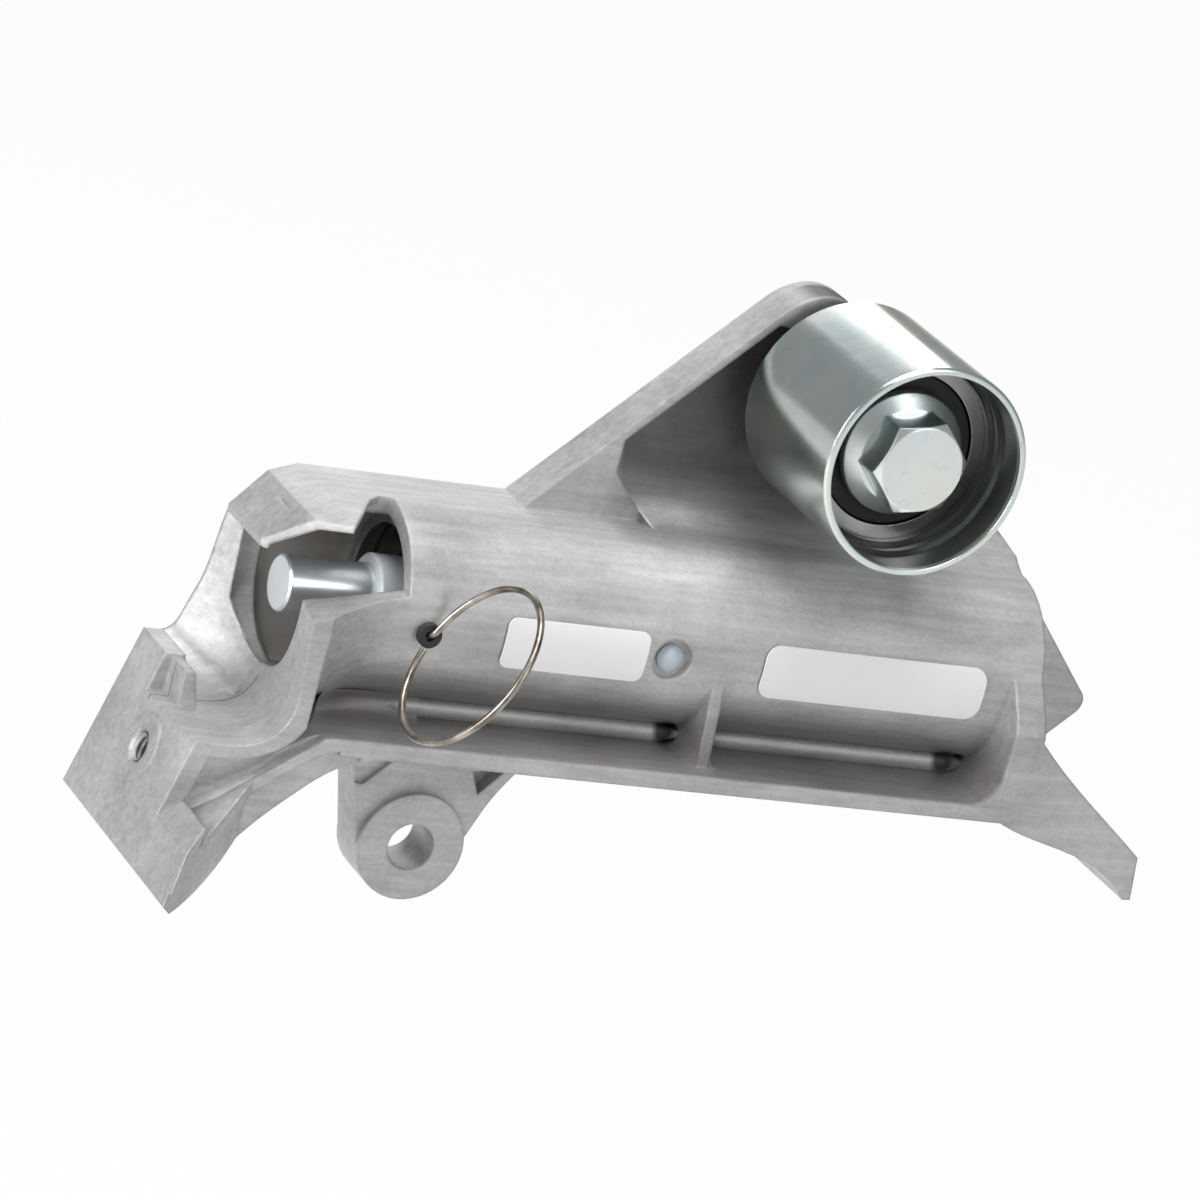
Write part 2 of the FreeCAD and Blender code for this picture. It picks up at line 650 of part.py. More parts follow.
def rod_seal():
    """Rubber-faced seal disc between the guide and the cylinder."""
    return turned_on_x([
        (seal_start_x, guide_nose_r + seat_gap), (seal_start_x + 0.8, bore_r - seat_gap - 1.2),
        (seal_start_x, bore_r - seat_gap - 0.4), (seal_start_x, bore_r - seat_gap),
        (seal_end_x, bore_r - seat_gap), (seal_end_x, guide_nose_r + seat_gap)])


def retaining_ring():
    """Open wire ring in the mouth with two eyes at its gap."""
    outer = bore_r - seat_gap
    ring_inner_r = outer - ring_width
    ring = turned_on_x([(ring_x, ring_inner_r), (ring_x, outer), (ring_x + ring_thickness, outer),
                        (ring_x + ring_thickness, ring_inner_r)])
    gap = box(ring_x - 1, ring_x + 3, -2.0, 2.0, -bore_r - 1, -ring_inner_r + 1)
    ring = ring.cut(gap)
    for side in (-1, 1):
        eye_y = side * 3.4
        eye_z = -(ring_inner_r - 0.4)
        eye = Part.makeCylinder(ring_eye_r, ring_thickness, Vec(ring_x, eye_y, eye_z), X_AXIS)
        hole = Part.makeCylinder(0.7, ring_thickness + 2, Vec(ring_x - 1, eye_y, eye_z), X_AXIS)
        ring = ring.fuse(eye).cut(hole)
    return ring


def cylinder_sleeve():
    """Steel sleeve in the casting's bore that the piston runs in."""
    outer = bore_r - seat_gap
    inner = sleeve_bore_r()
    return turned_on_x([(seal_end_x, inner), (seal_end_x, outer), (sleeve_end_x, outer), (sleeve_end_x, inner)])


def piston():
    """Piston on the rod's inner end, with two oil grooves."""
    outer = sleeve_bore_r() - running_gap
    skirt_r = outer - piston_wall
    body = turned_on_x([
        (rod_end_x, 0), (rod_end_x, outer - 0.5), (rod_end_x + 0.5, outer), (piston_end_x, outer),
        (piston_end_x, skirt_r), (piston_end_x - 5, skirt_r), (piston_end_x - 5, 0)])
    for x in (rod_end_x + 2.2, rod_end_x + 4.6):
        groove = rod_x(outer + 1, x, x + 0.9).cut(rod_x(outer - 0.6, x - 1, x + 2))
        body = body.cut(groove)
    return body


def coil(start_x, end_x, mean_r, wire_r, turns):
    """Round-wire compression spring along the cylinder's axis."""
    height = end_x - start_x - 2 * wire_r
    path = Part.makeHelix(height / turns, height, mean_r)
    section = Part.Wire(Part.makeCircle(wire_r, Vec(mean_r, 0, 0), Y_AXIS))
    spring = Part.Wire(path.Edges).makePipeShell([section], True, True)
    spring.rotate(Vec(0, 0, 0), Y_AXIS, 90)
    spring.translate(Vec(start_x + wire_r, 0, 0))
    return spring


def main_spring():
    """Spring that pushes the piston and rod out."""
    return coil(piston_end_x - 5, spring_end_x, spring_mean_r(), spring_wire_r, spring_turns)


def valve_body():
    """Check valve body that closes the pressure chamber."""
    outer = sleeve_bore_r() - seat_gap
    return turned_on_x([
        (spring_end_x, valve_passage_r), (spring_end_x, outer - 1.2), (spring_end_x + 1.2, outer),
        (valve_body_end_x, outer), (valve_body_end_x, valve_chamber_r), (valve_seat_end_x + 2, valve_chamber_r),
        (valve_seat_end_x, valve_passage_r)])


def valve_ball():
    """Ball of the check valve."""
    return Part.makeSphere(valve_ball_r, Vec(valve_ball_x, 0, 0))


def valve_cage():
    """Pressed cap that holds the check valve's spring."""
    low = valve_body_end_x
    high = valve_cage_end_x
    cap_r = valve_chamber_r - 0.4
    brim_r = sleeve_bore_r() - 1.5
    wall = valve_cage_wall
    return turned_on_x([
        (low, cap_r - 2 * wall), (low, brim_r), (low + wall, brim_r), (low + wall, cap_r), (high, cap_r),
        (high, 0), (high - wall, 0), (high - wall, cap_r - wall), (low + 0.6, cap_r - wall),
        (low + 0.6, cap_r - 2 * wall)])


def valve_spring():
    """Light spring behind the check valve's ball."""
    start_x = valve_ball_x + valve_ball_r + 0.2
    return coil(start_x, valve_cage_end_x - valve_cage_wall - 0.1, valve_spring_r, valve_wire_r, 4)


def filling_plug():
    """Round plug pressed into the filling hole in the cylinder's side."""
    top_y = -tube_r + plug_drop
    dome = Part.makeSphere(plug_r * 1.6, Vec(plug_x, top_y + plug_r * 1.6, 0))
    body = rod_y(plug_r, top_y, -tube_r + 1.8, plug_x, 0)
    return body.common(dome)


def ring_pin():
    """Locking pin and its pull ring bent from one wire, in one plane that leans about the pin."""
    bend_out = tube_r + 0.3
    lean = math.radians(pin_lean)

    def place(side, out):
        return Vec(pin_x + side * math.sin(lean), -out, side * math.cos(lean))

    half_turn = math.sqrt(0.5)
    bend_mid = place(pin_bend_r * (1 - half_turn), bend_out + pin_bend_r * half_turn)
    bend_end = place(pin_bend_r, bend_out + pin_bend_r)
    loop_out = bend_out + pin_bend_r + pin_loop_r
    sweep = math.radians(pin_loop_sweep)
    loop = []
    for turn in (sweep / 2, sweep):
        side = pin_bend_r + pin_loop_r * math.sin(turn)
        loop.append(place(side, loop_out - pin_loop_r * math.cos(turn)))
    leg = Part.makeLine(place(0, -pin_tip_y), place(0, bend_out))
    bend = Part.Arc(place(0, bend_out), bend_mid, bend_end).toShape()
    ring = Part.Arc(bend_end, loop[0], loop[1]).toShape()
    section = Part.Wire(Part.makeCircle(pin_r, place(0, -pin_tip_y), Y_AXIS))
    return Part.Wire([leg, bend, ring]).makePipeShell([section], True, False)


def pin_grommet():
    """Soft collar round the pin where it enters the cylinder."""
    face_y = -tube_r - 1.4
    collar = rod_y(2.1, face_y, -tube_r + 0.9, pin_x, 0)
    collar = collar.cut(rod_x(tube_r + seat_gap, pin_x - 6, pin_x + 6))
    return collar.cut(rod_y(pin_r + 0.3, face_y - 1, 0, pin_x, 0))


def label(span, half_angle, corner):
    """Thin label bent round the front of the cylinder, with rounded corners."""
    x_low, x_high = span
    inner = tube_r + label_gap
    ring = rod_x(inner + label_thickness, x_low, x_high).cut(rod_x(inner, x_low - 1, x_high + 1))
    z_high = inner * math.sin(math.radians(half_angle))
    z_low = -z_high
    r = corner
    pieces = [box(x_low + r, x_high - r, -inner - 2, 0, z_low, z_high)]
    pieces.append(box(x_low, x_high, -inner - 2, 0, z_low + r, z_high - r))
    for x in (x_low + r, x_high - r):
        for z in (z_low + r, z_high - r):
            pieces.append(rod_y(r, -inner - 2, 0, x, z))
    return ring.common(pieces[0].fuse(pieces[1:]))


def all_pieces():
    """Every separate piece by name."""
    return {
        "housing": housing(),
        "plunger_rod": plunger_rod(),
        "piston": piston(),
        "rod_guide": rod_guide(),
        "rod_seal": rod_seal(),
        "retaining_ring": retaining_ring(),
        "cylinder_sleeve": cylinder_sleeve(),
        "main_spring": main_spring(),
        "valve_body": valve_body(),
        "valve_ball": valve_ball(),
        "valve_cage": valve_cage(),
        "valve_spring": valve_spring(),
        "filling_plug": filling_plug(),
        "ring_pin": ring_pin(),
        "pin_grommet": pin_grommet(),
        "roller_shell": roller_shell(),
        "bearing_outer_ring": bearing_outer_ring(),
        "bearing_inner_ring": bearing_inner_ring(),
        "bearing_balls": bearing_balls(),
        "bearing_cage": bearing_cage(),
        "bearing_front_seal": bearing_seal(bearing_front_y + 0.4),
        "bearing_rear_seal": bearing_seal(bearing_back_y - 0.4 - seal_thickness),
        "roller_spacer": roller_spacer(),
        "roller_bolt": roller_bolt(),
        "small_label": label(small_label_x, small_label_half_angle, small_label_corner_r),
        "blank_label": label(blank_label_x, blank_label_half_angle, blank_label_corner_r),
    }


for name, shape in all_pieces().items():
    shape.translate(Vec(-lug_x, -mount_face_y, -lug_z))
    shape.exportStep("parts/" + name + ".step")
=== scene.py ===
import math

import bmesh
import bpy
import numpy as np
from mathutils import Matrix, Vector


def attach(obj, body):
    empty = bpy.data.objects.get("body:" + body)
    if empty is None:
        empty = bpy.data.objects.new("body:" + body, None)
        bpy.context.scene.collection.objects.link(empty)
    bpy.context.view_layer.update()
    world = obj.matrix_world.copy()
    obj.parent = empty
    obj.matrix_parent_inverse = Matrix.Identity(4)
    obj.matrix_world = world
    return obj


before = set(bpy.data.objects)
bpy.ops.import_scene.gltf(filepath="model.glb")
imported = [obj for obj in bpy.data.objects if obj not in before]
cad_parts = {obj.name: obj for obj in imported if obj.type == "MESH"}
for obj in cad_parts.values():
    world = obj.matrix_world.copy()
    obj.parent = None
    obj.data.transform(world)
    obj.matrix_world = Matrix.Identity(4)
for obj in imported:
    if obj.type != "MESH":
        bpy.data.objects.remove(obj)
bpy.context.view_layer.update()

MM = 0.001
WHITE = (1, 1, 1, 1)

# The camera was worked out from the photo: its place in metres, and its right, up and backward directions
CAMERA_PLACE = (-0.4723, -0.9471, 0.3741)
CAMERA_RIGHT = (0.8889, -0.3812, 0.2542)
CAMERA_UP = (-0.1029, 0.3746, 0.9216)
CAMERA_BACK = (-0.4464, -0.8453, 0.2938)
CAMERA_NEAR = 0.05
CAMERA_FAR = 30.0
LENS_MM = 195.0
SENSOR_MM = 36.0

# Millimetres along the cylinder, to the engine and up, from where the cylinder's bore opens
LUG_HOLE = (40.2, 17.5, -47.7)
FRONT_Y = -23.0
LIP_TOP_Z = -18.0
RIB_X = 75.3
RIB_WIDTH = 2.2
END_WALL_X = 131.8
TUBE_END_X = 137.5
BORE_R = 14.0
COLLAR_R = BORE_R + 0.05
COLLAR_END_X = 1.8
MOUTH_CURVE = 5.1
MOUTH_HALF_WIDTH = 17.6
RAIL_R = 1.8
RAIL_PLACE = (-8.6, -16.0)
RAIL_START_X = 17.0
CORE_R = 2.1
CORE_Z = -15.3
RIB_CORE_GAP = 3.2
WALL_CORE_GAP = 5.2
DRUM_RECESS_R = 17.0

# Metres on the part, whose origin is the lug's hole at the engine's face
CYLINDER_X, CYLINDER_Y, CYLINDER_Z = (-place * MM for place in LUG_HOLE)
ROLLER_AXIS = (0.0544, 0.0908)
WEB_EDGE_START = (0.0018, 0.0647)
WEB_EDGE_SLOPE = 1.0386
PARTING_LINE_Y = -0.0188
BOLT_THREAD_FROM = 0.0022
BOLT_THREAD_TO = 0.0168
BOLT_THREAD_R = 0.0049
BOLT_THREAD_CREST = 0.00525
BOLT_THREAD_PITCH = 0.0015
PAD_HOLE_MOUTH = (-0.06019, -0.0242, 0.01894)
PAD_HOLE_INWARD = (0.96708, 0.0, -0.25450)
PAD_THREAD_LENGTH = 0.0075
PAD_THREAD_R = 0.0025
PAD_THREAD_CREST = 0.0021
PAD_THREAD_PITCH = 0.001

# Where a shade starts and where it is full, in metres along one axis
TROUGH_TOP = (0.0425, 0.034)
TROUGH_FLOOR = (0.0275, 0.0305)
TROUGH_LEFT = (-0.040, -0.030)
TROUGH_RIGHT = (0.0925, 0.0915)
TROUGH_FRONT = (-0.0402, -0.0392)
TROUGH_BACK = (-0.017, -0.021)
POCKET_LEFT = (0.0160, 0.0200)
POCKET_RIGHT = (0.072, 0.058)
POCKET_EDGE = (0.0008, 0.0030)
FLOOR_FRONT = (-0.0137, -0.0126)
FLOOR_BACK = (-0.0065, -0.0080)
FLOOR_RISE = (0.058, 0.074)
ROOT_BACK = (-0.0126, -0.0137)
ROOT_FRONT = (-0.0240, -0.0215)
ROOT_RISE = (0.0615, 0.0690)
LINE_WIDTH = (0.00030, 0.00008)
LINE_RIGHT = (-0.0385, -0.0400)
LINE_BOTTOM = (0.0250, 0.0253)
LINE_TOP = (0.0330, 0.0310)
CORE_FRONT = (-0.0345, -0.0325)
CORE_BACK = (-0.014, -0.016)
DRUM_MOUTH = (-0.0492, -0.0482)
DRUM_RIGHT = (ROLLER_AXIS[0] - 0.010, ROLLER_AXIS[0] + 0.004)

# Colours
# Brownish painted shade for the trough under the cylinder
TROUGH_SHADE = (0.15, 0.125, 0.11, 1)
# Dark painted shade for the web's pocket under the roller
POCKET_SHADE = (0.085, 0.078, 0.072, 1)
# Brownish painted shade for the bore's wall inside the bell mouth
BORE_SHADE_COLOUR = (0.50, 0.46, 0.42, 1)
LINE_DARK = (0.11, 0.10, 0.10, 1)
# Dark painted shade for the inside of the roller's mouth
DRUM_SHADE = (0.035, 0.04, 0.036, 1)
ROD_DULL = (0.66, 0.70, 0.74, 1)
ROD_BRIGHT = (0.84, 0.87, 0.90, 1)
WIRE_BROWN = (0.20, 0.17, 0.14, 1)
WIRE_STEEL = (0.50, 0.46, 0.40, 1)
ROOM_GREY = (0.78, 0.79, 0.80, 1)

# The studio: floor and lamps in metres and watts
FLOOR_Z = -0.19
FLOOR_HALF = 6.0
ROOM_STRENGTH = 0.30
LIGHTS_AIM = (0.03, -0.02, 0.05)
LIGHTS = (
    ("top_softbox", (-0.10, -0.05, 0.95), 0.8, 0.5, 7.2),
    ("left_softbox", (-1.05, -0.25, 0.35), 0.6, 0.7, 10.0),
    ("front_softbox", (0.45, -1.10, 0.55), 0.4, 0.6, 2.9),
    ("rear_softbox", (0.25, 1.0, 0.45), 0.7, 0.5, 2.0),
)


class Value:
    """A node's output that takes part in ordinary arithmetic."""

    def __init__(self, nodes, socket):
        self.nodes = nodes
        self.socket = socket

    def _math(self, operation, first, second):
        return self.nodes.add("ShaderNodeMath", {"operation": operation}, {0: first, 1: second})

    def __add__(self, other):
        return self._math("ADD", self, other)

    def __radd__(self, other):
        return self._math("ADD", other, self)

    def __sub__(self, other):
        return self._math("SUBTRACT", self, other)

    def __rsub__(self, other):
        return self._math("SUBTRACT", other, self)

    def __mul__(self, other):
        return self._math("MULTIPLY", self, other)

    def __rmul__(self, other):
        return self._math("MULTIPLY", other, self)

    def __pow__(self, other):
        return self._math("POWER", self, other)

    def __abs__(self):
        return self._math("ABSOLUTE", self, 0.0)

    def within(self, start, full):
        """0 up to start and 1 from full on, even in between; full may lie under start."""
        ends = {"From Min": start, "From Max": full, "To Min": 0.0, "To Max": 1.0}
        return self.nodes.add("ShaderNodeMapRange", {"clamp": True}, {"Value": self, **ends})


class Nodes:
    """A node tree being filled. Every node comes from add."""

    def __init__(self, tree):
        self.tree = tree

    def add(self, kind, settings, sockets, output=0):
        """A node of that kind: its settings first, then its sockets' values or links."""
        node = self.tree.nodes.new(kind)
        for key, value in settings.items():
            setattr(node, key, value)
        for key, value in sockets.items():
            if isinstance(value, Value):
                self.tree.links.new(value.socket, node.inputs[key])
            else:
                node.inputs[key].default_value = value
        return Value(self, node.outputs[output])

    def rays(self):
        """Whether a ray comes from the camera, a glossy surface or a clear one, as three values."""
        node = self.add("ShaderNodeLightPath", {}, {}).socket.node
        return [Value(self, node.outputs["Is %s Ray" % kind]) for kind in ("Camera", "Glossy", "Transmission")]

    def surface(self, share, first, second, output):
        """Makes a mix of two shaders the surface that the output node shows."""
        mixed = self.add("ShaderNodeMixShader", {}, {0: share, 1: first, 2: second})
        self.tree.links.new(mixed.socket, self.tree.nodes[output].inputs["Surface"])


class Finish(Nodes):
    """A material being made."""

    def __init__(self, name, **constants):
        self.material = bpy.data.materials.new(name)
        self.material.use_nodes = True
        super().__init__(self.material.node_tree)
        self.shader = self.tree.nodes["Principled BSDF"]
        for key, value in constants.items():
            self.shader.inputs[key].default_value = value
        self.place = self.add("ShaderNodeTexCoord", {}, {}, "Object")

    def feed(self, socket, value):
        """Links a value to a socket of the shader."""
        self.tree.links.new(value.socket, self.shader.inputs[socket])

    def stretched(self, scale):
        """Object coordinates multiplied axis by axis."""
        return self.add("ShaderNodeMapping", {}, {"Vector": self.place, "Scale": scale})

    def noise(self, scale, detail=3.0, roughness=0.55, where=None):
        """Noise from 0 to 1, at scale cells per metre."""
        sockets = {"Vector": where or self.place, "Scale": scale, "Detail": detail, "Roughness": roughness}
        return self.add("ShaderNodeTexNoise", {}, sockets)

    def blend(self, share, first, second):
        """Colour that goes from first to second as share goes from 0 to 1."""
        return self.add("ShaderNodeMix", {"data_type": "RGBA"}, {0: share, 6: first, 7: second}, 2)

    def axes(self):
        """The three object coordinates as values."""
        node = self.add("ShaderNodeSeparateXYZ", {}, {0: self.place}).socket.node
        return [Value(self, node.outputs[i]) for i in range(3)]

    def rounded(self, radius):
        """Normal that turns smoothly over edges, as if they were rounded."""
        return self.add("ShaderNodeBevel", {"samples": 4}, {"Radius": radius})

    def bump(self, height, distance, strength, normal=None):
        """Normal tilted by a height that is worth distance at 1."""
        sockets = {"Height": height, "Distance": distance, "Strength": strength}
        if normal is not None:
            sockets["Normal"] = normal
        return self.add("ShaderNodeBump", {}, sockets)


def grey(level, warm=0.0):
    """Grey of that level, a little warm or, below 0, a little cold."""
    return (level * (1 + warm), level, level * (1 - warm), 1.0)


def distance(across, up, centre):
    """Distance from a straight axis through centre, by Pythagoras in the plane across it."""
    return ((across - centre[0]) ** 2.0 + (up - centre[1]) ** 2.0) ** 0.5


def trough_shade(x, y, z, patches):
    """Share of brownish painted shade, full in the trough under the cylinder."""
    box = z.within(*TROUGH_TOP) * z.within(*TROUGH_FLOOR) * (x.within(*TROUGH_LEFT) * x.within(*TROUGH_RIGHT))
    return box * y.within(*TROUGH_FRONT) * y.within(*TROUGH_BACK) * (0.55 + 0.6 * patches)


def pocket_shade(x, y, z, patches):
    """Share of painted shade in the web's pocket: its floor, and the root over the cylinder, both darker
    higher up towards the roller.

    It stays under the web's slanted upper edge, the line z = start + slope * (x - start).
    """
    sides = x.within(*POCKET_LEFT) * x.within(*POCKET_RIGHT)
    floor = y.within(*FLOOR_FRONT) * y.within(*FLOOR_BACK) * z.within(*FLOOR_RISE) * (0.6 + 0.7 * patches)
    root = y.within(*ROOT_BACK) * y.within(*ROOT_FRONT) * z.within(*ROOT_RISE) * patches.within(0.25, 0.65)
    under_edge = WEB_EDGE_SLOPE * (x - WEB_EDGE_START[0]) - (z - WEB_EDGE_START[1])
    return sides * under_edge.within(*POCKET_EDGE) * (0.9 * floor + 0.8 * root)


def bore_shade(x, y, z):
    """Share of brownish painted shade: 1 on the bore's wall behind the bell mouth's edge, up to the cylinder's
    end.
    """
    far = distance(y, z, (CYLINDER_Y, CYLINDER_Z))
    wall = far.within((BORE_R + 0.6) * MM, (BORE_R + 0.3) * MM)
    start = x.within(CYLINDER_X + 1.7 * MM, CYLINDER_X + 2.1 * MM)
    end = x.within(CYLINDER_X + (TUBE_END_X - 1.0) * MM, CYLINDER_X + (TUBE_END_X - 1.5) * MM)
    return wall * start * end


def parting_line(x, y, z):
    """1 on the thin line that the mould's halves left across the bell mouth's floor."""
    line = abs(y - PARTING_LINE_Y).within(*LINE_WIDTH) * x.within(*LINE_RIGHT)
    return line * z.within(*LINE_BOTTOM) * z.within(*LINE_TOP)


def core_pit_shade(x, y, z, core_x):
    """1 on a dark disc painted as the shade in a core pin's round pit, at a place along the trough."""
    away = distance(x, z, (CYLINDER_X + core_x * MM, CYLINDER_Z + CORE_Z * MM))
    disc = away.within((CORE_R + 0.6) * MM, CORE_R * 0.7 * MM)
    return disc * y.within(*CORE_FRONT) * y.within(*CORE_BACK)


def cast_aluminium(name, trough_shade_share):
    """Blasted casting: fine pitted grain, drag streaks along the cylinder, and painted shade in the trough,
    the web's pocket, the bore and the core pits.
    """
    made = Finish(name, Metallic=0.72)
    grain = made.noise(2600.0, 3.0, 0.65)
    speckle = made.noise(900.0, 4.0, 0.7)
    patches = made.noise(55.0, 4.0, 0.6)
    streaks = made.noise(1.0, 4.0, 0.6, made.stretched((60.0, 700.0, 700.0)))
    x, y, z = made.axes()
    tone = 0.42 * patches + 0.33 * streaks + 0.25 * speckle
    colour = made.blend(tone.within(0.34, 0.66), grey(0.36, 0.012), grey(0.66, -0.004))
    # Painted shade in the trough under the cylinder, brownish, as strong as the second argument asks
    colour = made.blend(0.62 * trough_shade_share * trough_shade(x, y, z, patches), colour, TROUGH_SHADE)
    # Painted shade in the web's pocket, strongest up by the roller
    colour = made.blend(pocket_shade(x, y, z, patches), colour, POCKET_SHADE)
    # Painted shade on the bore's wall behind the bell mouth's edge
    colour = made.blend(0.6 * bore_shade(x, y, z), colour, BORE_SHADE_COLOUR)
    colour = made.blend(0.7 * parting_line(x, y, z), colour, LINE_DARK)
    # Painted shade: near-black discs for the pits that core pins left beside the rib and the end wall
    for core_x in (RIB_X - RIB_CORE_GAP, END_WALL_X - WALL_CORE_GAP):
        colour = made.blend(0.9 * core_pit_shade(x, y, z, core_x), colour, grey(0.03))
    pits = speckle.within(0.32, 0.24)
    colour = made.blend(0.35 * pits, colour, grey(0.26))
    made.feed("Base Color", colour)
    made.feed("Roughness", 0.40 + 0.16 * patches + 0.10 * speckle)
    height = 0.7 * grain + 0.5 * speckle + 0.4 * streaks
    made.feed("Normal", made.bump(height, 0.00007, 0.9, made.rounded(0.0007)))
    return made.material


def ground_rod():
    """Ground and polished rod with faint rings round it."""
    made = Finish("ground_steel", Metallic=0.85)
    rings = made.noise(1.0, 3.0, 0.6, made.stretched((5200.0, 40.0, 40.0)))
    haze = made.noise(140.0, 3.0, 0.5)
    made.feed("Base Color", made.blend(haze, ROD_DULL, ROD_BRIGHT))
    made.feed("Roughness", 0.22 + 0.12 * rings + 0.08 * haze)
    made.feed("Normal", made.bump(rings, 0.00001, 0.5, made.rounded(0.0003)))
    return made.material


def turned_steel(name, dark, light, rough):
    """Turned steel of the bearing, cylinder and valve parts, with fine machining and a film of oil."""
    made = Finish(name, Metallic=1.0)
    lines = made.noise(1.0, 3.0, 0.6, made.stretched((300.0, 4200.0, 300.0)))
    haze = made.noise(200.0, 3.0, 0.55)
    made.feed("Base Color", made.blend(haze, dark, light))
    made.feed("Roughness", rough + 0.12 * lines + 0.06 * haze)
    made.feed("Normal", made.bump(lines, 0.00001, 0.5, made.rounded(0.0002)))
    return made.material


def zinc(name, pale, tints, rough, shaded_inside):
    """Zinc plating with drifting tints, and on the roller painted shade inside the mouth, most on the right.
    """
    made = Finish(name, Metallic=1.0)
    drift = made.noise(38.0, 3.0, 0.55)
    spots = made.noise(420.0, 4.0, 0.6)
    colour = made.blend(drift.within(0.38, 0.55), tints[0], pale)
    colour = made.blend(drift.within(0.56, 0.70), colour, tints[1])
    colour = made.blend(0.25 * spots.within(0.55, 0.75), colour, grey(0.52))
    # Painted shade inside the roller's mouth, strongest on the right, where the metal is also made less
    # metallic
    if shaded_inside:
        x, y, z = made.axes()
        wall = distance(x, z, ROLLER_AXIS).within((DRUM_RECESS_R + 0.7) * MM, (DRUM_RECESS_R + 0.5) * MM)
        inside = wall * y.within(*DRUM_MOUTH)
        right = x.within(*DRUM_RIGHT)
        colour = made.blend((0.55 + 0.40 * right) * inside, colour, DRUM_SHADE)
        made.feed("Metallic", 1.0 - 0.50 * inside * right)
    made.feed("Base Color", colour)
    made.feed("Roughness", rough + 0.10 * drift + 0.07 * spots)
    made.feed("Normal", made.bump(spots, 0.00002, 0.5, made.rounded(0.0004)))
    return made.material


def pin_wire():
    """Drawn steel wire, slightly brown, with fine scratches."""
    made = Finish("pin_wire", Metallic=1.0)
    blotches = made.noise(260.0, 4.0, 0.6)
    fine = made.noise(2400.0, 2.0, 0.6)
    made.feed("Base Color", made.blend(blotches.within(0.35, 0.65), WIRE_BROWN, WIRE_STEEL))
    made.feed("Roughness", 0.20 + 0.16 * blotches + 0.06 * fine)
    made.feed("Normal", made.bump(fine, 0.00001, 0.5))
    return made.material


def moulded(name, dark, light, rough, grain):
    """Moulded rubber or plastic with a fine matt grain."""
    made = Finish(name, Metallic=0.0)
    fine = made.noise(grain, 3.0, 0.6)
    drift = made.noise(120.0, 3.0, 0.5)
    made.feed("Base Color", made.blend(0.6 * drift + 0.4 * fine, dark, light))
    made.feed("Roughness", rough + 0.10 * fine + 0.08 * drift)
    made.feed("Normal", made.bump(fine, 0.00003, 0.5, made.rounded(0.0003)))
    return made.material


def label_film():
    """White label film with the casting's grain faintly under it."""
    made = Finish("label_white", Metallic=0.0)
    grain = made.noise(900.0, 3.0, 0.6)
    drift = made.noise(90.0, 2.0, 0.5)
    made.feed("Base Color", made.blend(0.7 * drift + 0.3 * grain, grey(0.86, 0.004), grey(0.95, 0.004)))
    made.feed("Roughness", 0.34 + 0.14 * grain)
    made.feed("Normal", made.bump(grain, 0.00002, 0.5))
    return made.material


def dress(materials):
    """Gives every CAD piece its finish."""
    for node, material in materials.items():
        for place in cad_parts[node].material_slots:
            place.material = material


bearing_steel = turned_steel("bearing_steel", grey(0.34, 0.01), grey(0.50), 0.20)
dark_steel = turned_steel("dark_steel", grey(0.16), grey(0.30), 0.30)
spring_steel = turned_steel("spring_steel", grey(0.22, 0.02), grey(0.42, 0.01), 0.26)
rubber = moulded("black_rubber", grey(0.012), grey(0.035), 0.45, 1500.0)
guide_alloy = moulded("guide_alloy", (0.55, 0.60, 0.62, 1), (0.72, 0.76, 0.78, 1), 0.28, 1200.0)
plug_plastic = moulded("plug_plastic", (0.42, 0.50, 0.57, 1), (0.66, 0.72, 0.77, 1), 0.22, 800.0)
cage_plastic = moulded("cage_plastic", (0.13, 0.10, 0.06, 1), (0.22, 0.17, 0.11, 1), 0.40, 1200.0)
polished = ground_rod()
label = label_film()
casting = cast_aluminium("cast_aluminium", 1.0)
# The same casting with only a fifth of the trough's painted shade, so that the rail at the trough's root shows
# as a lit line
less_shaded_casting = cast_aluminium("cast_aluminium_less_shaded", 0.2)
bolt_tints = ((0.80, 0.89, 0.90, 1), (0.91, 0.92, 0.82, 1))
bolt_zinc = zinc("zinc_bolt", (0.88, 0.93, 0.90, 1), bolt_tints, 0.22, False)
roller_tints = ((0.72, 0.82, 0.82, 1), (0.87, 0.87, 0.66, 1))
roller_zinc = zinc("zinc_roller", (0.86, 0.90, 0.83, 1), roller_tints, 0.10, True)
dress({
    "housing": casting,
    "plunger_rod": polished,
    "piston": polished,
    "rod_guide": guide_alloy,
    "rod_seal": rubber,
    "retaining_ring": spring_steel,
    "cylinder_sleeve": dark_steel,
    "main_spring": spring_steel,
    "valve_body": dark_steel,
    "valve_ball": polished,
    "valve_cage": dark_steel,
    "valve_spring": spring_steel,
    "filling_plug": plug_plastic,
    "ring_pin": pin_wire(),
    "pin_grommet": rubber,
    "roller_shell": roller_zinc,
    "bearing_outer_ring": bearing_steel,
    "bearing_inner_ring": bearing_steel,
    "bearing_balls": bearing_steel,
    "bearing_cage": cage_plastic,
    "bearing_front_seal": rubber,
    "bearing_rear_seal": rubber,
    "roller_spacer": bearing_steel,
    "roller_bolt": bolt_zinc,
    "small_label": label,
    "blank_label": label,
})


def from_cylinder(points):
    """Points in metres on the part, from millimetres along the cylinder, to the engine and up."""
    return (np.asarray(points, float) - np.array(LUG_HOLE)) * MM


def grid_faces(rows, columns, flip=False):
    """Four-sided faces over a grid of points, each between neighbours; flip turns them round."""
    index = np.arange(rows * columns).reshape(rows, columns)
    corners = [index[:-1, :-1], index[1:, :-1], index[1:, 1:], index[:-1, 1:]]
    faces = np.stack(corners, axis=-1).reshape(-1, 4)
    return faces[:, ::-1] if flip else faces


